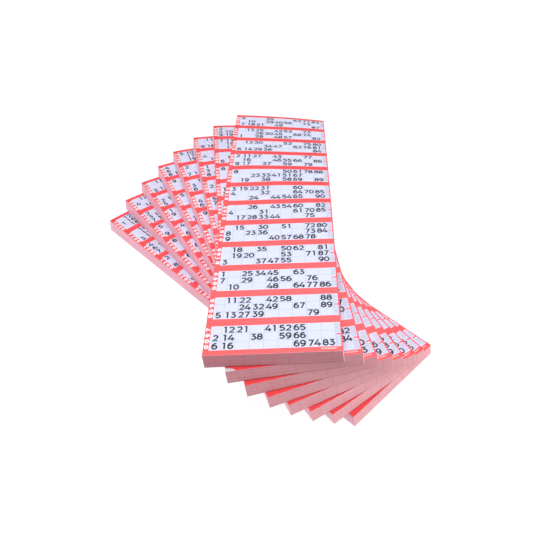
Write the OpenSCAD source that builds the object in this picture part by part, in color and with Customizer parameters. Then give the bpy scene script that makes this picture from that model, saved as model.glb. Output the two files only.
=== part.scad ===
// A pile of bingo strip pads, fanned out about one upright axis.
// Each pad is a block of loose strips that a film of glue holds along its left long edge.
// The printed face of a strip is a red ground with a column of white ticket panels.

/* [Strip] */
// Width of a strip, across its tickets
strip_w = 117; // [90:1:150]
// Length of a strip, along its column of tickets
strip_l = 420; // [330:1:500]
// Thickness of one sheet of paper
sheet_t = 0.1; // [0.08:0.01:0.2]
// Thickness of the printed ink
ink_t = 0.05; // [0.03:0.01:0.05]

/* [Pad] */
// Height of each pad, from its lowest sheet to the top of its print, from the lowest pad to the top one
pad_heights = [13.4, 13.1, 13.1, 13.2, 13.1, 13.2, 13.3, 13.6]; // [6:0.1:20]
// Thickness of the glue film on the bound edge
glue_t = 0.3; // [0.1:0.05:1]

/* [Ticket print] */
// Tickets on one strip
tickets = 12; // [6:1:14]
// Red margin before the first ticket and after the last one
end_margin = 5.3; // [2:0.1:9]
// Red band between two tickets
band_h = 8.2; // [3:0.1:10]
// Red margin along the left edge
left_margin = 4.8; // [2:0.1:8]
// Red border along the right edge
right_border = 1.2; // [0.3:0.1:3]
// Length of the red tick that parts the serial column at the right of a ticket
tick_l = 3.6; // [1:0.1:5]
// Width of the red tick
tick_w = 1.5; // [0.5:0.1:3]

/* [Fan] */
// Turn of each pad about the fan's axis, from the lowest pad to the top one, in degrees
fan_angles = [43.7, 37.2, 30.9, 24.8, 19.3, 12.9, 7, 0]; // [0:0.1:90]
// How far each pad is laid off the fan's axis, to the right of the top pad, from the lowest pad to the top one
off_axis_x = [1.4, 0.5, -0.3, -1, -2, -1.2, 0.6, 2.1]; // [-5:0.1:5]
// The same along the top pad, towards its far end
off_axis_y = [0.4, 1, -0.1, -0.4, -1.2, -0.3, 0.5, 0.4]; // [-5:0.1:5]
// Distance of the fan's axis from a pad's centre line, towards its right edge
axis_across = 0.6; // [-40:0.1:40]
// Distance of the fan's axis from the middle of a pad's length, towards its near end
axis_along = 49.4; // [-150:0.1:150]
// Clearance between one pad and the next
pile_gap = 0.1; // [0.05:0.05:0.5]

/* [Hidden] */
// Share of the top strip's edge that the glue reaches up to
glue_grip_share = 0.3;
// Overrun of a cut past the face that it opens
overrun = 1;

pads = len(fan_angles);

// Height of the sheets under the top strip of a pad
function sheets_t(k) = pad_heights[k - 1] - sheet_t - ink_t;
// Height of a pad's underside above the table
function pad_base(k) = k < 2 ? 0 : pad_base(k - 1) + pad_heights[k - 2] + pile_gap;

panel_w = strip_w - left_margin - right_border;
panel_h = (strip_l - 2 * end_margin - (tickets - 1) * band_h) / tickets;
ticket_pitch = panel_h + band_h;

PIECES = ["sheets", "glue_edge", "top_strip", "red_print"];

// Moves a pad's pieces from the pad's own frame, centred on its underside, to its place in the fan.
module in_fan(k) {
    translate([off_axis_x[k - 1], off_axis_y[k - 1], pad_base(k)])
        rotate([0, 0, fan_angles[k - 1]])
            translate([-axis_across, axis_along, 0])
                children();
}

// Outline of a whole strip
module strip_outline() {
    translate([-strip_w / 2, -strip_l / 2])
        square([strip_w, strip_l]);
}

// Repeats a shape at the lower left corner of every ticket panel, from the near end to the far one.
module at_panels() {
    for (i = [0 : tickets - 1])
        translate([-strip_w / 2 + left_margin, -strip_l / 2 + end_margin + i * ticket_pitch])
            children();
}

// White window of one ticket, less the tick at its right edge
module panel_window() {
    difference() {
        square([panel_w, panel_h]);
        translate([panel_w - tick_l, (panel_h - tick_w) / 2])
            square([tick_l + overrun, tick_w]);
    }
}

// All the strips under the top one
module sheets(k) {
    color([0.93, 0.68, 0.73])
        in_fan(k)
            linear_extrude(sheets_t(k))
                strip_outline();
}

// Film of padding glue along the left long edge
module glue_edge(k) {
    color([0.95, 0.76, 0.82])
        in_fan(k)
            translate([-strip_w / 2 - glue_t, -strip_l / 2, 0])
                cube([glue_t, strip_l, sheets_t(k) + sheet_t * glue_grip_share]);
}

// The uppermost strip of paper
module top_strip(k) {
    color([0.93, 0.94, 1.0])
        in_fan(k)
            translate([0, 0, sheets_t(k)])
                linear_extrude(sheet_t)
                    strip_outline();
}

// Red ground printed round the ticket panels
module red_print(k) {
    color([0.98, 0.33, 0.33])
        in_fan(k)
            translate([0, 0, sheets_t(k) + sheet_t])
                linear_extrude(ink_t)
                    difference() {
                        strip_outline();
                        at_panels() panel_window();
                    }
}

for (k = [1 : pads]) {
    sheets(k);
    glue_edge(k);
    top_strip(k);
    red_print(k);
}
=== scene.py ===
import math
import random

import bmesh
import bpy
from mathutils import Matrix, Vector, noise


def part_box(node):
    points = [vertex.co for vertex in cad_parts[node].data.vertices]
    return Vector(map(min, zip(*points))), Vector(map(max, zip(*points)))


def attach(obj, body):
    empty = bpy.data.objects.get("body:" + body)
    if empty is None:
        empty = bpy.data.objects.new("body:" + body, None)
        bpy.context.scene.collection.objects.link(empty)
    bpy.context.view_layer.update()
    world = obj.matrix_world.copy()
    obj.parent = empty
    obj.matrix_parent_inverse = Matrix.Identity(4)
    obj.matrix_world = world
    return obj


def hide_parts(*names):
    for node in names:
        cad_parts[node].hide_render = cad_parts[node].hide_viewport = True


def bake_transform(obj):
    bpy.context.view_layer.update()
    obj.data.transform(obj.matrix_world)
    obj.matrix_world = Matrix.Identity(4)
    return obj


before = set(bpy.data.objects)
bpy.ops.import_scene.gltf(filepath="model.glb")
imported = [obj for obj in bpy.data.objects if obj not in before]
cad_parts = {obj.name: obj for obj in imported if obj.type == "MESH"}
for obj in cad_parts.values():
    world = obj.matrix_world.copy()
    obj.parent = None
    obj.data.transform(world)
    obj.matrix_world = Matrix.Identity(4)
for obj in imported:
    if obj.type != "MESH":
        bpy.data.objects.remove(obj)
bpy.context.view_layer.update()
scene = bpy.context.scene

MM = 0.001

# Camera, from the corners of the eight pads in the photograph
IMAGE_SIDE = 540
FOCAL_PIXELS = 666.62
SENSOR_WIDTH = 36
CAMERA_PLACE = Vector((34.34, -535.34, 539.33)) * MM
CAMERA_PITCH = 33.13
CAMERA_YAW = 0.29
CAMERA_ROLL = -1.72
AXIS_PIXEL = (309, 161.4)

camera_data = bpy.data.cameras.new("camera")
camera_data.sensor_width = SENSOR_WIDTH
camera_data.lens = SENSOR_WIDTH * FOCAL_PIXELS / IMAGE_SIDE
camera_data.shift_x = 0.5 - AXIS_PIXEL[0] / IMAGE_SIDE
camera_data.shift_y = AXIS_PIXEL[1] / IMAGE_SIDE - 0.5
camera = bpy.data.objects.new("camera", camera_data)
scene.collection.objects.link(camera)
camera.matrix_world = (
    Matrix.Translation(CAMERA_PLACE)
    @ Matrix.Rotation(math.radians(-CAMERA_YAW), 4, "Z")
    @ Matrix.Rotation(math.radians(90 - CAMERA_PITCH), 4, "X")
    @ Matrix.Rotation(math.radians(CAMERA_ROLL), 4, "Z")
)
scene.camera = camera
scene.view_settings.view_transform = "Standard"

# Sizes of a strip, read from the top pad, which lies square to the frame, and each pad's place and height
FAN_ANGLES = [43.7, 37.2, 30.9, 24.8, 19.3, 12.9, 7, 0]
PADS = len(FAN_ANGLES)
TOP = f"pad_{PADS}"

strip_low, strip_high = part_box(f"{TOP}_top_strip")
ink_low, ink_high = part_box(f"{TOP}_red_print")
glue_low, glue_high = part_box(f"{TOP}_glue_edge")
strip_w, strip_l, sheet_t = strip_high - strip_low
ink_t = ink_high.z - ink_low.z
glue_t = strip_low.x - glue_low.x
glue_grip = glue_high.z - strip_low.z
pad_middles = []
pad_bases = []
block_heights = []
for number in range(1, PADS + 1):
    low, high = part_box(f"pad_{number}_sheets")
    pad_middles.append(Vector(((low.x + high.x) / 2, (low.y + high.y) / 2, 0)))
    pad_bases.append(low.z)
    block_heights.append(high.z - low.z)

# Layout of one printed strip
TICKETS = 12
ROWS = 3
COLUMNS = 9
END_MARGIN = 5.3 * MM
BAND_H = 8.2 * MM
LEFT_MARGIN = 4.8 * MM
RIGHT_BORDER = 1.2 * MM
TICK_L = 3.6 * MM
TICK_W = 1.5 * MM
FIRST_COLUMN_W = 9.1 * MM
COLUMN_W = 12.2 * MM
RULE_W = 0.28 * MM

panel_h = (strip_l - 2 * END_MARGIN - (TICKETS - 1) * BAND_H) / TICKETS
ticket_pitch = panel_h + BAND_H
row_h = panel_h / ROWS
panel_left = -strip_w / 2 + LEFT_MARGIN
panel_right = strip_w / 2 - RIGHT_BORDER
column_edges = [panel_left, panel_left + FIRST_COLUMN_W]
for _ in range(COLUMNS - 1):
    column_edges.append(column_edges[-1] + COLUMN_W)
serial_left = column_edges[-1]

# Heights of the thin films of print over the paper or the red ground
RULE_LIFT = 0.012 * MM
NUMBER_LIFT = 0.025 * MM
BARE_LIFT = 0.02 * MM

# Droop of the pads that reach past the lowest one
DROOP = 9.59 * MM
DROOP_REACH = 100 * MM
DROOP_POWER = 1.271
DROOP_LEFT_SHARE = 0.057
CORNER_DROOP = 3 * MM
CORNER_START = 105 * MM
CORNER_REACH = 60 * MM


# Droop of the pile at a place in plan
def droop(x, y):
    turn = math.radians(FAN_ANGLES[0])
    across = math.cos(turn) * (x - pad_middles[0].x) + math.sin(turn) * (y - pad_middles[0].y)
    past = max(abs(across) - strip_w / 2, 0)
    side = 1 if across > 0 else DROOP_LEFT_SHARE
    corner = CORNER_DROOP * (max(past - CORNER_START, 0) / CORNER_REACH) ** 2
    return side * (DROOP * (past / DROOP_REACH) ** DROOP_POWER + corner)


# Near edge of one ticket's panel, in the strip's own frame
def panel_near(ticket):
    return -strip_l / 2 + END_MARGIN + ticket * ticket_pitch


# Materials

# Linear colour from the usual 0 to 255 values
def colour(red, green, blue):
    linear = []
    for value in (red, green, blue):
        share = value / 255
        linear.append(share / 12.92 if share <= 0.04045 else ((share + 0.055) / 1.055) ** 2.4)
    return (*linear, 1)


# Mottled finishes
TONE_START = 0.3
TONE_END = 0.7
ROUGH_SPREAD = 0.08
FINE_RELIEF = 0.05 * MM

# Cut edges of the sheets, with lengths in millimetres
# Edge tones of the top pad: the painted shaded end of the blend between pads
EDGE_DARK = colour(167, 100, 112)
EDGE_LIGHT = colour(190, 125, 136)
# Painted lit copies of the edge tones, for the lower pads whose faces catch the right light
PAINTED_LIT_EDGE_DARK = colour(205, 143, 150)
PAINTED_LIT_EDGE_LIGHT = colour(224, 166, 173)
EDGE_RED = colour(192, 60, 70)
# Painted highlight: paler tone for the near right corners, which catch the right light
PAINTED_CORNER_HIGHLIGHT = colour(226, 196, 202)
# Painted contact shadow where a pad rests on the one below
PAINTED_CONTACT_SHADE = colour(96, 56, 62)
EDGE_ROUGH = (0.5, 0.65)
EDGE_BUMP = 0.35
SHEET_LINES = (0.02, 0.02, 3.2)
BLOTCH_SCALE = 0.06
BUNDLE_H = 3.1
BUNDLE_WAVE = 1.2
BUNDLE_LINE_W = 0.045
BUNDLE_LINE_SHADE = 0.4
NICK_SHIFT = 0.12
NICK_LEAN = 0.1
NICK_W = 0.016
NICK_SHADE = 0.55
RIM = 1
CORNER_HIGHLIGHT_W = 0.45
SPECK_PAD = 4
SPECK_PLACE = (-13.5, -strip_l / MM / 2, pad_bases[SPECK_PAD - 1] / MM + 2.4)
SPECK_RADIUS = 0.55
SPECK_TONE = colour(92, 58, 66)

# Film of glue
GLUE_DARK = colour(206, 140, 160)
GLUE_LIGHT = colour(222, 162, 180)
GLUE_ROUGH = (0.4, 0.6)
GLUE_BUMP = 0.25
GLUE_STREAKS = (1, 0.025, 0.9)

# Relief of the lines between sheets and of the brush streaks
STREAK_DETAIL = 4
STREAK_RELIEF = 0.1 * MM


# Node that reads a value kept on the mesh
def kept_value(tree, name):
    node = tree.nodes.new("ShaderNodeAttribute")
    node.attribute_name = name
    return node


# New material with its shader and the pad's own coordinates in millimetres
def new_material(name):
    material = bpy.data.materials.new(name)
    material.use_nodes = True
    tree = material.node_tree
    shader = tree.nodes["Principled BSDF"]
    return material, tree, shader, kept_value(tree, "place").outputs["Vector"]


# Sum or other step between sockets and numbers
def step(tree, operation, *values):
    node = tree.nodes.new("ShaderNodeMath")
    node.operation = operation
    for socket, value in zip(node.inputs, values):
        if isinstance(value, (int, float)):
            socket.default_value = value
        else:
            tree.links.new(value, socket)
    return node.outputs[0]


# How far the fraction of a value is from a half
def off_half(tree, value):
    return step(tree, "ABSOLUTE", step(tree, "SUBTRACT", step(tree, "FRACT", value), 0.5))


# Noise over the pad's coordinates, stretched along an axis where wanted
def grain(tree, place, scale, stretch=(1, 1, 1), detail=3):
    mapping = tree.nodes.new("ShaderNodeMapping")
    mapping.inputs["Scale"].default_value = stretch
    tree.links.new(place, mapping.inputs["Vector"])
    texture = tree.nodes.new("ShaderNodeTexNoise")
    texture.inputs["Scale"].default_value = scale
    texture.inputs["Detail"].default_value = detail
    tree.links.new(mapping.outputs["Vector"], texture.inputs["Vector"])
    return texture.outputs["Fac"]


# Colour that goes from one tone to another with a value
def tones(tree, value, low, high):
    ramp = tree.nodes.new("ShaderNodeValToRGB")
    ramp.color_ramp.elements[0].position = TONE_START
    ramp.color_ramp.elements[0].color = low
    ramp.color_ramp.elements[1].position = TONE_END
    ramp.color_ramp.elements[1].color = high
    tree.links.new(value, ramp.inputs["Fac"])
    return ramp.outputs["Color"]


# One colour laid over another by a mask, through the colour sockets of the mix node
def over(tree, mask, below, above):
    mix = tree.nodes.new("ShaderNodeMix")
    mix.data_type = "RGBA"
    tree.links.new(mask, mix.inputs[0])
    for socket, value in ((mix.inputs[6], below), (mix.inputs[7], above)):
        if isinstance(value, tuple):
            socket.default_value = value
        else:
            tree.links.new(value, socket)
    return mix.outputs[2]


# Value spread over a range
def spread(tree, value, low, high):
    node = tree.nodes.new("ShaderNodeMapRange")
    node.inputs["To Min"].default_value = low
    node.inputs["To Max"].default_value = high
    tree.links.new(value, node.inputs["Value"])
    return node.outputs["Result"]


# Fine relief of a surface
def relief(tree, shader, height, strength, distance):
    bump = tree.nodes.new("ShaderNodeBump")
    bump.inputs["Strength"].default_value = strength
    bump.inputs["Distance"].default_value = distance
    tree.links.new(height, bump.inputs["Height"])
    tree.links.new(bump.outputs["Normal"], shader.inputs["Normal"])


# Finish with a mottled colour, a varied roughness and a fine relief
def mottled(name, low, high, scale, rough, bump=0.1, gloss=0.5):
    material, tree, shader, place = new_material(name)
    fine = grain(tree, place, scale)
    varied = spread(tree, fine, rough - ROUGH_SPREAD, rough + ROUGH_SPREAD)
    shader.inputs["Specular IOR Level"].default_value = gloss
    tree.links.new(tones(tree, fine, low, high), shader.inputs["Base Color"])
    tree.links.new(varied, shader.inputs["Roughness"])
    relief(tree, shader, fine, bump, FINE_RELIEF)
    return material


# Cut edges of the stacked sheets: thin lines of paper, bundle lines and red nicks on the short ends.
# Painted light and shade: the edges are darker on the top pad and paler on the lowest, for the right light
# that reaches the lower pads' faces more. Each pad's lowest sheets carry a painted contact shadow, and a pale
# strip at the near right corners is a painted highlight.
def cut_edge_material():
    material, tree, shader, place = new_material("cut_sheet_edges")
    axes = tree.nodes.new("ShaderNodeSeparateXYZ")
    tree.links.new(place, axes.inputs["Vector"])
    x, y, z = axes.outputs
    lines = grain(tree, place, 1, SHEET_LINES, STREAK_DETAIL)
    blotches = grain(tree, place, BLOTCH_SCALE)
    at_end = step(tree, "GREATER_THAN", step(tree, "ABSOLUTE", y), strip_l / MM / 2 - RIM)
    at_right = step(tree, "GREATER_THAN", x, strip_w / MM / 2 - CORNER_HIGHLIGHT_W)

    deep = tones(tree, lines, EDGE_DARK, EDGE_LIGHT)
    pale = tones(tree, lines, PAINTED_LIT_EDGE_DARK, PAINTED_LIT_EDGE_LIGHT)
    # Painted light: blends from the shaded tones on the top pad to the lit tones on the lowest
    paper = over(tree, kept_value(tree, "painted_light_share").outputs["Fac"], deep, pale)

    wavy = step(tree, "ADD", z, step(tree, "MULTIPLY", blotches, BUNDLE_WAVE))
    bundle = step(tree, "DIVIDE", wavy, BUNDLE_H)
    bundle_line = step(tree, "LESS_THAN", off_half(tree, bundle), BUNDLE_LINE_W)
    bundle_line = step(tree, "MULTIPLY", bundle_line, BUNDLE_LINE_SHADE)

    shifts = tree.nodes.new("ShaderNodeTexWhiteNoise")
    shifts.noise_dimensions = "1D"
    tree.links.new(step(tree, "FLOOR", bundle), shifts.inputs["W"])
    column = step(tree, "DIVIDE", step(tree, "SUBTRACT", x, panel_left / MM), COLUMN_W / MM)
    column = step(tree, "ADD", column, step(tree, "MULTIPLY", shifts.outputs["Value"], NICK_SHIFT))
    column = step(tree, "ADD", column, step(tree, "MULTIPLY", blotches, NICK_LEAN))
    nick = step(tree, "LESS_THAN", off_half(tree, column), NICK_W)
    nick = step(tree, "MULTIPLY", step(tree, "MULTIPLY", nick, at_end), NICK_SHADE)

    gap = tree.nodes.new("ShaderNodeVectorMath")
    gap.operation = "DISTANCE"
    gap.inputs[1].default_value = SPECK_PLACE
    tree.links.new(place, gap.inputs[0])
    speck = step(tree, "LESS_THAN", gap.outputs["Value"], SPECK_RADIUS)

    marked = over(tree, step(tree, "MAXIMUM", bundle_line, nick), paper, EDGE_RED)
    # Painted highlight along the near right corners of the cut edges
    marked = over(tree, step(tree, "MULTIPLY", at_right, at_end), marked, PAINTED_CORNER_HIGHLIGHT)
    # Painted contact shadow on the lowest sheets of every pad but the lowest
    marked = over(tree, kept_value(tree, "painted_foot_shade").outputs["Fac"], marked, PAINTED_CONTACT_SHADE)
    marked = over(tree, speck, marked, SPECK_TONE)
    tree.links.new(marked, shader.inputs["Base Color"])
    tree.links.new(spread(tree, lines, *EDGE_ROUGH), shader.inputs["Roughness"])
    relief(tree, shader, lines, EDGE_BUMP, STREAK_RELIEF)
    return material


# Film of padding glue: a pale satin skin with long brush streaks
def glue_material():
    material, tree, shader, place = new_material("padding_glue_film")
    streaks = grain(tree, place, 1, GLUE_STREAKS, STREAK_DETAIL)
    tree.links.new(tones(tree, streaks, GLUE_DARK, GLUE_LIGHT), shader.inputs["Base Color"])
    tree.links.new(spread(tree, streaks, *GLUE_ROUGH), shader.inputs["Roughness"])
    relief(tree, shader, streaks, GLUE_BUMP, STREAK_RELIEF)
    return material


white_paper = mottled("strip_paper", colour(212, 216, 243), colour(220, 224, 249), scale=0.7, rough=0.65)
back_paper = mottled("sheet_back", colour(218, 218, 224), colour(228, 228, 234), scale=0.7, rough=0.85)
red_ink = mottled(
    "red_ground_ink", colour(243, 60, 64), colour(249, 72, 76), scale=0.5, rough=0.4, gloss=0.8
)
rule_ink = mottled("grey_rule_ink", colour(162, 172, 188), colour(176, 186, 200), scale=1.5, rough=0.75)
number_ink = mottled("number_ink", colour(36, 38, 52), colour(48, 50, 64), scale=1.2, rough=0.5)
bare_paper = mottled(
    "unprinted_digits", colour(244, 232, 240), colour(252, 244, 248), scale=0.8, rough=0.75
)
torn_paper = mottled(
    "torn_paper", colour(196, 196, 200), colour(232, 232, 236), scale=1.4, rough=0.9, bump=0.6
)
cut_edges = cut_edge_material()
glue_skin = glue_material()


# Pieces

# How far the lowest sheet of a pad has slipped against the top one: round the fan's axis, in degrees, and
# towards the near end
SLIP_TURN = 0.4
SLIP_ALONG = 1.2 * MM


# Puts a pad's piece, built flat in the pad's own frame at a level over the pad's underside, in the fan
def lay_in_fan(bm, pad, level=0):
    base = pad_bases[pad - 1] + level
    place = bm.verts.layers.float_vector.new("place")
    turn = Matrix.Rotation(math.radians(FAN_ANGLES[pad - 1]), 3, "Z")
    for vert in bm.verts:
        vert[place] = (vert.co + Vector((0, 0, base))) / MM
        depth = max(1 - (vert.co.z + level) / block_heights[pad - 1], 0)
        slip = Matrix.Rotation(math.radians(SLIP_TURN * depth), 3, "Z")
        flat = vert.co - Vector((0, SLIP_ALONG * depth, 0))
        spot = slip @ (turn @ flat + pad_middles[pad - 1])
        spot.z += base
        if pad > 1:
            spot.z -= droop(spot.x, spot.y)
        vert.co = spot


# Object from a finished bmesh
def make_piece(bm, name, *materials):
    mesh = bpy.data.meshes.new(name)
    bm.to_mesh(mesh)
    bm.free()
    for material in materials:
        mesh.materials.append(material)
    piece = bpy.data.objects.new(name, mesh)
    scene.collection.objects.link(piece)
    return piece


# Flat grid of faces about the origin
def flat_grid(width, length, across=1, along=1):
    bm = bmesh.new()
    bmesh.ops.create_grid(bm, x_segments=across, y_segments=along, size=0.5)
    bmesh.ops.scale(bm, vec=(width, length, 1), verts=bm.verts)
    return bm


# Gives a sheet of faces a second side, and returns the vertices of that side
def second_side(bm):
    made = bmesh.ops.extrude_face_region(bm, geom=bm.faces[:])
    return [item for item in made["geom"] if isinstance(item, bmesh.types.BMVert)]


# Cuts a flat mesh at places across the strip, and then at places along it
def cut_at(bm, across, along=()):
    cuts = [((x, 0, 0), (1, 0, 0)) for x in across] + [((0, y, 0), (0, 1, 0)) for y in along]
    for spot, way in cuts:
        everything = bm.verts[:] + bm.edges[:] + bm.faces[:]
        bmesh.ops.bisect_plane(bm, geom=everything, plane_co=spot, plane_no=way)
    return bm


# Flat strip, cut along every edge of its print and through the middle of every box, so that the paper droops
# as evenly as the digits on it, with closer cuts next to the glue where the leaf bends
def cut_strip(bend_lines):
    across = [panel_left, panel_right, panel_right - TICK_L]
    for edge in column_edges[1:]:
        across += [edge - RULE_W / 2, edge + RULE_W / 2]
    for left, right in zip(column_edges, column_edges[1:]):
        across.append((left + right) / 2)
    along = []
    for ticket in range(TICKETS):
        near = panel_near(ticket)
        middle = near + panel_h / 2
        along += [near, near + panel_h, middle - TICK_W / 2, middle + TICK_W / 2]
        for row in range(1, ROWS):
            line = near + row * row_h
            along += [line - RULE_W / 2, line + RULE_W / 2]
        along += [near + (row + 0.5) * row_h for row in range(ROWS)]
        along.append(near + panel_h + BAND_H / 2)
    return cut_at(flat_grid(strip_w, strip_l), across + bend_lines, along)


# Height of a place above the near edge of its ticket's panel, or None on a red band
def height_in_panel(y):
    ticket = min(max(int((y + strip_l / 2 - END_MARGIN) // ticket_pitch), 0), TICKETS - 1)
    above = y - panel_near(ticket)
    return above if 0 < above < panel_h else None


# True for a face of the cut strip that is printed red
def is_red(face):
    spot = face.calc_center_median()
    above = height_in_panel(spot.y)
    if above is None or not panel_left < spot.x < panel_right:
        return True
    return spot.x > panel_right - TICK_L and abs(above - panel_h / 2) < TICK_W / 2


# True for a face of the cut strip that is a ruled line
def is_rule(face):
    spot = face.calc_center_median()
    above = height_in_panel(spot.y)
    if above is None or not panel_left < spot.x < serial_left + RULE_W:
        return False
    if any(abs(spot.x - edge) < RULE_W / 2 for edge in column_edges[1:]):
        return True
    if spot.x > serial_left:
        return False
    return any(abs(above - row * row_h) < RULE_W / 2 for row in range(1, ROWS))


# Keeps the faces of a copy of the cut strip that pass a test, at a height, with a thickness below them
def film(pattern, keep, height, thickness):
    bm = pattern.copy()
    others = [face for face in bm.faces if not keep(face)]
    bmesh.ops.delete(bm, geom=others, context="FACES")
    if thickness:
        bmesh.ops.translate(bm, vec=(0, 0, thickness), verts=second_side(bm))
        bmesh.ops.recalc_face_normals(bm, faces=bm.faces)
    bmesh.ops.translate(bm, vec=(0, 0, height - thickness), verts=bm.verts)
    return bm


# Numbers of a strip: two sets of six tickets, each set with the numbers 1 to 90 once
SET_TICKETS = 6
TICKET_NUMBERS = 15
LAST_NUMBER = 90


# Numbers that belong in a column: 1 to 9, then ten at a time, and 80 to 90 in the last one
def column_pool(column):
    last = LAST_NUMBER if column == COLUMNS - 1 else column * 10 + 9
    return list(range(max(column * 10, 1), last + 1))


# How many numbers of each column a set's six tickets take
def share_columns(rng):
    while True:
        counts = [[1] * COLUMNS for _ in range(SET_TICKETS)]
        for column in rng.sample(range(COLUMNS), COLUMNS):
            for _ in range(len(column_pool(column)) - SET_TICKETS):
                free = [c for c in counts if c[column] < ROWS and sum(c) < TICKET_NUMBERS]
                if free:
                    rng.choice(free)[column] += 1
        if all(sum(c) == TICKET_NUMBERS for c in counts):
            return counts


# Rows that one ticket's columns fill, five numbers to a row
def share_rows(rng, counts):
    filled = [0] * ROWS
    rows = [[] for _ in range(COLUMNS)]
    for column in sorted(range(COLUMNS), key=lambda c: (-counts[c], rng.random())):
        order = sorted(range(ROWS), key=lambda r: (filled[r], rng.random()))
        rows[column] = sorted(order[: counts[column]])
        for row in rows[column]:
            filled[row] += 1
    return rows


# Places of all numbers on one strip, as ticket, row, column and number
def strip_numbers(rng):
    places = []
    for first in range(0, TICKETS, SET_TICKETS):
        counts = share_columns(rng)
        rows = [share_rows(rng, c) for c in counts]
        for column in range(COLUMNS):
            pool = column_pool(column)
            rng.shuffle(pool)
            for ticket in range(SET_TICKETS):
                dealt = sorted(pool.pop() for _ in range(counts[ticket][column]))
                for row, number in zip(rows[ticket][column], dealt):
                    places.append((first + ticket, row, column, number))
    return places


# Digits, drawn as strokes about the middle of a box one unit high
MITRE_LIMIT = 1.7
SAME_SPOT = 1e-5


# Points along an arc of an ellipse, with the angles in degrees
def arc(arc_step, x, y, half_w, half_h, start, end):
    steps = max(round(abs(end - start) / arc_step), 2)
    angles = [math.radians(start + (end - start) * i / steps) for i in range(steps + 1)]
    return [(x + half_w * math.cos(a), y + half_h * math.sin(a)) for a in angles]


# Paths of the strokes of all ten digits
def digit_strokes(arc_step):
    hook = arc(arc_step, -0.01, 0.16, 0.27, 0.26, 160, -35)
    three_bowl = arc(arc_step, -0.02, -0.16, 0.29, 0.26, 85, -150)
    four_stem = [[(0.17, 0.06), (0.17, -0.14)], [(0.17, -0.3), (0.17, -0.5)]]
    five_bowl = arc(arc_step, -0.03, -0.16, 0.3, 0.245, 105, -150)
    six = [arc(arc_step, 0.01, -0.16, 0.285, 0.26, 180, -180), arc(arc_step, 0.06, 0, 0.335, 0.42, 60, 180)]
    return {
        "0": [arc(arc_step, 0, 0, 0.3, 0.42, 90, -270)],
        "1": [[(-0.19, 0.42), (0.06, 0.42), (0.06, -0.5)]],
        "2": [hook + [(-0.27, -0.42), (0.32, -0.42)]],
        "3": [[(-0.27, 0.42), (0.18, 0.42), (-0.06, 0.1)] + three_bowl],
        "4": [[(0.1, 0.5), (-0.33, -0.22), (0.41, -0.22)]] + four_stem,
        "5": [[(0.27, 0.42), (-0.2, 0.42), (-0.24, 0.08)] + five_bowl],
        "6": six,
        "7": [[(-0.31, 0.42), (0.25, 0.42), (-0.12, -0.5)]],
        "8": [arc(arc_step, 0, 0.21, 0.24, 0.21, 90, -270), arc(arc_step, 0, -0.19, 0.29, 0.23, 90, -270)],
        "9": [[(-x, -y) for x, y in path] for path in six],
    }


# Pairs of points on the two sides of a stroke
def stroke_sides(path, half_width):
    closed = math.dist(path[0], path[-1]) < SAME_SPOT
    spots = [Vector(spot) for spot in path]
    sides = []
    for index, spot in enumerate(spots):
        before = spots[index - 1] if index else (spots[-2] if closed else None)
        after = spots[index + 1] if index + 1 < len(spots) else (spots[1] if closed else None)
        ways = []
        if before is not None:
            ways.append((spot - before).normalized())
        if after is not None:
            ways.append((after - spot).normalized())
        way = sum(ways, Vector((0, 0))).normalized()
        reach = half_width / max(way.dot(ways[0]), 1 / MITRE_LIMIT)
        across = Vector((-way.y, way.x)) * reach
        sides.append((spot - across, spot + across))
    return sides


# One digit as a flat mesh
def digit_mesh(digit, strokes, half_width):
    bm = bmesh.new()
    for path in strokes:
        sides = stroke_sides(path, half_width)
        rails = [[bm.verts.new((spot.x, spot.y, 0)) for spot in pair] for pair in sides]
        for (right, left), (next_right, next_left) in zip(rails, rails[1:]):
            bm.faces.new((right, next_right, next_left, left))
    bmesh.ops.remove_doubles(bm, verts=bm.verts, dist=SAME_SPOT)
    mesh = bpy.data.meshes.new(f"digit_{digit}")
    bm.to_mesh(mesh)
    bm.free()
    return mesh


# All ten digits with one weight of stroke
def digit_set(half_width, arc_step):
    return {digit: digit_mesh(digit, paths, half_width) for digit, paths in digit_strokes(arc_step).items()}


number_digits = digit_set(half_width=0.112, arc_step=24)
margin_digits = digit_set(half_width=0.17, arc_step=30)
small_digits = digit_set(half_width=0.12, arc_step=60)
end_digits = digit_set(half_width=0.09, arc_step=30)


# Adds a row of digits about a place over the paper
def stamp(bm, digits, text, place, size, pitch, turn=0, widen=1):
    start = -(len(text) - 1) / 2 * pitch
    spot = Matrix.Translation(place) @ Matrix.Rotation(math.radians(turn), 4, "Z")
    for index, digit in enumerate(text):
        shift = Matrix.Translation((start + index * pitch, 0, 0))
        scale = Matrix.Diagonal((size * widen, size, 1, 1))
        copy = digits[digit].copy()
        copy.transform(spot @ shift @ scale)
        bm.from_mesh(copy)
        bpy.data.meshes.remove(copy)


NUMBER_H = 6.75 * MM
NUMBER_PITCH = 5.4 * MM
MARGIN_DIGIT_H = 3.4 * MM
MARGIN_DIGIT_PITCH = 6.3 * MM
MARGIN_DIGIT_WIDEN = 1.4
MARGIN_DIGIT_SHARE = 0.52
END_DIGIT_H = 1.7 * MM
END_DIGIT_PITCH = 1.75 * MM
END_DIGITS_INSET = 10 * MM
END_DIGIT_SHARE = 0.62
SERIAL_H = 0.9 * MM
SERIAL_PITCH = 0.95 * MM
SERIAL_HALVES = (0.24, 0.76)
SERIAL_DIGITS = 11
SERIAL_LINES = 3
SERIAL_LINE_PITCH = 1.2 * MM
SERIAL_SEED = 200
UPRIGHT = 90


# Fifteen dark numbers on every ticket
def numbers_print(rng):
    bm = bmesh.new()
    for ticket, row, column, number in strip_numbers(rng):
        x = (column_edges[column] + column_edges[column + 1]) / 2
        y = panel_near(ticket) + panel_h - (row + 0.5) * row_h
        stamp(bm, number_digits, str(number), (x, y, NUMBER_LIFT), NUMBER_H, NUMBER_PITCH)
    return bm


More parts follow.
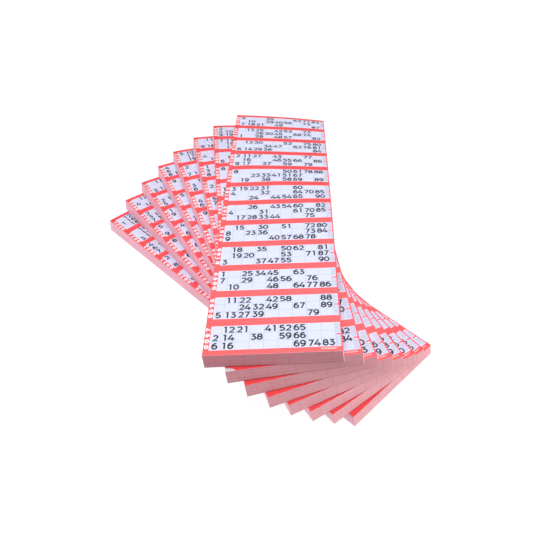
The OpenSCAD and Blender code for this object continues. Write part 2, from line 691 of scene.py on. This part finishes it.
# Ruled lines of every ticket, and a block of tiny turned digits in each half of its last column
def grey_print(pattern, rng):
    bm = film(pattern, is_rule, RULE_LIFT, 0)
    middle = (serial_left + panel_right) / 2
    for ticket in range(TICKETS):
        for half in SERIAL_HALVES:
            y = panel_near(ticket) + half * panel_h
            for line in range(SERIAL_LINES):
                text = "".join(rng.choice("0123456789") for _ in range(SERIAL_DIGITS))
                x = middle + (line - (SERIAL_LINES - 1) / 2) * SERIAL_LINE_PITCH
                stamp(bm, small_digits, text, (x, y, RULE_LIFT), SERIAL_H, SERIAL_PITCH, UPRIGHT)
    return bm


# Bare digits in the red ground: a turned count at the left of every ticket and a small one at the near end
def bare_print(first_count):
    bm = bmesh.new()
    height = ink_t + BARE_LIFT
    x = -strip_w / 2 + LEFT_MARGIN * MARGIN_DIGIT_SHARE
    for ticket in range(TICKETS):
        place = (x, panel_near(ticket) + panel_h / 2, height)
        text = f"{first_count + ticket:04d}"
        stamp(
            bm, margin_digits, text, place, MARGIN_DIGIT_H, MARGIN_DIGIT_PITCH, UPRIGHT, MARGIN_DIGIT_WIDEN
        )
    place = (panel_right - END_DIGITS_INSET, -strip_l / 2 + END_MARGIN * END_DIGIT_SHARE, height)
    stamp(bm, end_digits, f"{first_count:08d}", place, END_DIGIT_H, END_DIGIT_PITCH)
    return bm


# The leaf's paper and its digits are cut on the same lines, so that they bend as one
BEND_W = 30 * MM
BEND_CUTS = 96
leaf_lines = [-strip_w / 2 + BEND_W * (i + 0.5) / BEND_CUTS for i in range(BEND_CUTS)]
plain_pattern = cut_strip([])
leaf_pattern = cut_strip(leaf_lines)


# All printed layers of one strip, laid in the fan, lowered where it lies under the top leaf
def printed_strip(name, pad, pattern, seed, drop=0, bend_lines=()):
    numbers = cut_at(numbers_print(random.Random(seed)), bend_lines)
    counts = cut_at(bare_print(seed * TICKETS + 1), bend_lines)
    layers = [
        ("strip_paper", film(pattern, lambda face: True, 0, sheet_t), white_paper, "white_paper"),
        ("red_ground", film(pattern, is_red, ink_t, ink_t), red_ink, "red_ink"),
        ("grey_rules", grey_print(pattern, random.Random(SERIAL_SEED + seed)), rule_ink, None),
        ("numbers", numbers, number_ink, None),
        ("bare_digits", counts, bare_paper, "white_paper"),
    ]
    pieces = {}
    for layer, bm, material, slot in layers:
        lay_in_fan(bm, pad, block_heights[pad - 1] + sheet_t - drop)
        piece = make_piece(bm, f"{name}_{layer}", material)
        pieces[layer] = piece
    return pieces


# Block of stacked sheets, whose cut edges step in and out a little from layer to layer
BLOCK_SEED = 100
CELLS_ACROSS = 12
CELLS_ALONG = 42
LAYERS = 56
EDGE_STEP = 0.07 * MM
BUNDLE_STEP = 0.12 * MM
LAYERS_IN_BUNDLE = 14
CORNER_ROUND = 0.7 * MM
CORNER_SEGMENTS = 3
FOOT_STEP = 0.6 * MM
FOOT_LAYERS = 5
# Strength of the painted contact shadow on the lowest layer
FOOT_PAINTED_SHADE = 0.85


def sheet_block(pad, drop):
    rng = random.Random(BLOCK_SEED + pad)
    height = block_heights[pad - 1] - drop
    bm = flat_grid(strip_w, strip_l, CELLS_ACROSS, CELLS_ALONG)
    corners = [v for v in bm.verts if len(v.link_faces) == 1 and v.co.x > 0]
    bmesh.ops.bevel(
        bm, geom=corners, affect="VERTICES", offset=CORNER_ROUND,
        segments=CORNER_SEGMENTS, profile=0.5, material=-1,
    )
    bmesh.ops.translate(bm, vec=(0, 0, height), verts=second_side(bm))
    upright = [e for e in bm.edges if abs(e.verts[0].co.z - e.verts[1].co.z) > height / 2]
    bmesh.ops.subdivide_edges(bm, edges=upright, cuts=LAYERS - 1, use_grid_fill=True)
    bmesh.ops.recalc_face_normals(bm, faces=bm.faces)
    depth = [rng.uniform(0, EDGE_STEP) for _ in range(LAYERS + 1)]
    bundles = [rng.uniform(0, BUNDLE_STEP) for _ in range(LAYERS // LAYERS_IN_BUNDLE + 2)]

    # Layer and place of a vertex: the draws go by it, because the mesh tools give no lasting order
    def place_in_block(vert):
        return round(vert.co.z / height * LAYERS), round(vert.co.y / MM, 2), round(vert.co.x / MM, 2)

    for vert in sorted(bm.verts, key=place_in_block):
        layer = place_in_block(vert)[0]
        inset = depth[layer] + bundles[layer // LAYERS_IN_BUNDLE]
        inset += FOOT_STEP * max(1 - layer / FOOT_LAYERS, 0)
        inset += rng.uniform(0, EDGE_STEP / 2)
        if vert.co.x > strip_w / 2 - RIM * MM:
            vert.co.x -= inset
        if abs(vert.co.y) > strip_l / 2 - RIM * MM:
            vert.co.y -= math.copysign(inset, vert.co.y)
    for face in bm.faces:
        face.material_index = 1 if abs(face.normal.z) > 0.5 else 0
    painted_light_share = bm.verts.layers.float.new("painted_light_share")
    painted_foot_shade = bm.verts.layers.float.new("painted_foot_shade")
    for vert in bm.verts:
        # Share of painted light: 0 on the top pad, 1 on the lowest
        vert[painted_light_share] = math.sqrt((PADS - pad) / (PADS - 1))
        if pad > 1:
            # Painted contact shadow, strongest on the lowest layer and gone after FOOT_LAYERS layers
            vert[painted_foot_shade] = FOOT_PAINTED_SHADE * max(1 - vert.co.z / height * LAYERS / FOOT_LAYERS, 0)
    lay_in_fan(bm, pad)
    piece = make_piece(bm, f"pad_{pad}_cut_sheets", cut_edges, back_paper)
    return piece


# Skin of glue along the left edge, a little uneven as a brush leaves it
GLUE_ROWS = 6
GLUE_STATIONS = 84
GLUE_THIN_SHARE = 0.45
GLUE_WAVES_ALONG = 60
GLUE_WAVES_UP = 300
GLUE_WAVE_SHIFT = 7.3
GLUE_SHARP_ANGLE = 50


def glue_film(pad, drop):
    height = block_heights[pad - 1] + glue_grip - drop
    bm = flat_grid(strip_l, height, GLUE_STATIONS, GLUE_ROWS)
    upright = Matrix.Rotation(math.radians(90), 4, "X")
    sideways = Matrix.Rotation(math.radians(-90), 4, "Z")
    middle = Matrix.Translation((-strip_w / 2, 0, height / 2))
    bmesh.ops.transform(bm, matrix=middle @ sideways @ upright, verts=bm.verts)
    for vert in second_side(bm):
        spot = (vert.co.y * GLUE_WAVES_ALONG, vert.co.z * GLUE_WAVES_UP, pad * GLUE_WAVE_SHIFT)
        wave = noise.noise(Vector(spot))
        thickness = GLUE_THIN_SHARE + (1 - GLUE_THIN_SHARE) * (0.5 + 0.5 * wave)
        vert.co.x -= glue_t * min(max(thickness, GLUE_THIN_SHARE), 1)
    bmesh.ops.recalc_face_normals(bm, faces=bm.faces)
    lay_in_fan(bm, pad)
    piece = make_piece(bm, f"pad_{pad}_glue_film", glue_skin)
    piece.data.shade_smooth()
    piece.data.set_sharp_from_angle(angle=math.radians(GLUE_SHARP_ANGLE))
    return piece


# Patch at a pad's near left corner where the print is torn off the paper
TORN_PAD = 7
TORN_SEED = 41
TORN_POINTS = 36
TORN_W = 8.2 * MM
TORN_DEPTH = 3.6 * MM
TORN_LIFT = 0.02 * MM
TORN_FIBRE = 0.04 * MM
TORN_RAGGED = (-0.12, 0.06)


def torn_patch():
    rng = random.Random(TORN_SEED)
    bm = bmesh.new()
    bmesh.ops.create_circle(bm, cap_ends=True, segments=TORN_POINTS, radius=1)
    for normal in ((-1, 0, 0), (0, -1, 0)):
        everything = bm.verts[:] + bm.edges[:] + bm.faces[:]
        bmesh.ops.bisect_plane(bm, geom=everything, plane_co=(0, 0, 0), plane_no=normal, clear_outer=True)
    bmesh.ops.poke(bm, faces=bm.faces)
    bmesh.ops.subdivide_edges(bm, edges=bm.edges, cuts=2, use_grid_fill=True)
    for vert in bm.verts:
        ragged = 1 + rng.uniform(*TORN_RAGGED) if vert.is_boundary else 1
        x = -strip_w / 2 + vert.co.x * ragged * TORN_W
        y = -strip_l / 2 + vert.co.y * ragged * TORN_DEPTH
        vert.co = (x, y, ink_t + TORN_LIFT + rng.uniform(0, TORN_FIBRE))
    bmesh.ops.recalc_face_normals(bm, faces=bm.faces)
    lay_in_fan(bm, TORN_PAD, block_heights[TORN_PAD - 1] + sheet_t)
    return make_piece(bm, "torn_patch", torn_paper)


# The eight pads, from the lowest one up
second_drop = sheet_t + ink_t
for pad in range(1, PADS + 1):
    body = f"pad_{pad}"
    is_top = pad == PADS
    drop = second_drop if is_top else 0
    block = sheet_block(pad, drop)
    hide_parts(f"{body}_sheets")
    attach(block, body)
    skin = glue_film(pad, drop)
    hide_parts(f"{body}_glue_edge")
    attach(skin, body)
    if is_top:
        strip = printed_strip("top_leaf", pad, leaf_pattern, pad, bend_lines=leaf_lines)
        for piece in strip.values():
            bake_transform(piece)
        below = printed_strip("second_leaf", pad, plain_pattern, pad + 1, second_drop)
        for piece in below.values():
            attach(piece, body)
    else:
        strip = printed_strip(body, pad, plain_pattern, pad)
        for piece in strip.values():
            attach(piece, body)
    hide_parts(f"{body}_top_strip")
    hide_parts(f"{body}_red_print")

patch = torn_patch()
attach(patch, f"pad_{TORN_PAD}")

# Floor, world and lights
FLOOR_SIDE = 30
FLOOR_GAP = 0.2 * MM
FLOOR_TONE = (0.3, 0.3, 0.3, 1)
FLOOR_GLOW = 0.8
WHITE = (1, 1, 1, 1)
WORLD_FRONT = 0.1
WORLD_BACK = 0.3
WORLD_FADE = (-0.8, 0.3)
LIGHT_AIM = Vector((0, 0.05, 0.05))

floor_bm = flat_grid(FLOOR_SIDE, FLOOR_SIDE)
bmesh.ops.translate(floor_bm, vec=(0, 0, -FLOOR_GAP), verts=floor_bm.verts)
floor_material = bpy.data.materials.new("studio_floor")
floor_material.use_nodes = True
floor_shader = floor_material.node_tree.nodes["Principled BSDF"]
floor_shader.inputs["Base Color"].default_value = FLOOR_TONE
floor_shader.inputs["Roughness"].default_value = 1
floor_shader.inputs["Specular IOR Level"].default_value = 0
floor_shader.inputs["Emission Color"].default_value = WHITE
floor_shader.inputs["Emission Strength"].default_value = FLOOR_GLOW
floor = make_piece(floor_bm, "studio_floor", floor_material)

world = bpy.data.worlds.new("studio")
scene.world = world
world.use_nodes = True
world_tree = world.node_tree
background = world_tree.nodes["Background"]
direction = world_tree.nodes.new("ShaderNodeTexCoord")
parts = world_tree.nodes.new("ShaderNodeSeparateXYZ")
world_tree.links.new(direction.outputs["Generated"], parts.inputs["Vector"])
fade = world_tree.nodes.new("ShaderNodeMapRange")
fade.interpolation_type = "SMOOTHSTEP"
fade.inputs["From Min"].default_value, fade.inputs["From Max"].default_value = WORLD_FADE
fade.inputs["To Min"].default_value = WORLD_FRONT
fade.inputs["To Max"].default_value = WORLD_BACK
world_tree.links.new(parts.outputs["Y"], fade.inputs["Value"])
world_tree.links.new(fade.outputs["Result"], background.inputs["Strength"])
background.inputs["Color"].default_value = WHITE


# Soft square light that points at the pile
def soft_light(name, place, side, power):
    data = bpy.data.lights.new(name, "AREA")
    data.shape = "SQUARE"
    data.size = side
    data.energy = power
    light = bpy.data.objects.new(name, data)
    scene.collection.objects.link(light)
    light.location = place
    light.rotation_mode = "QUATERNION"
    light.rotation_quaternion = (LIGHT_AIM - Vector(place)).to_track_quat("-Z", "Y")


soft_light("key_light", place=(0, -0.5, 1.2), side=1.0, power=10.7)
soft_light("back_light", place=(0, 0.8, 1.25), side=0.65, power=5)
soft_light("right_light", place=(1.5, -0.13, 0.25), side=1.0, power=22)
soft_light("left_light", place=(-1.5, 0, 0.35), side=1.0, power=15)
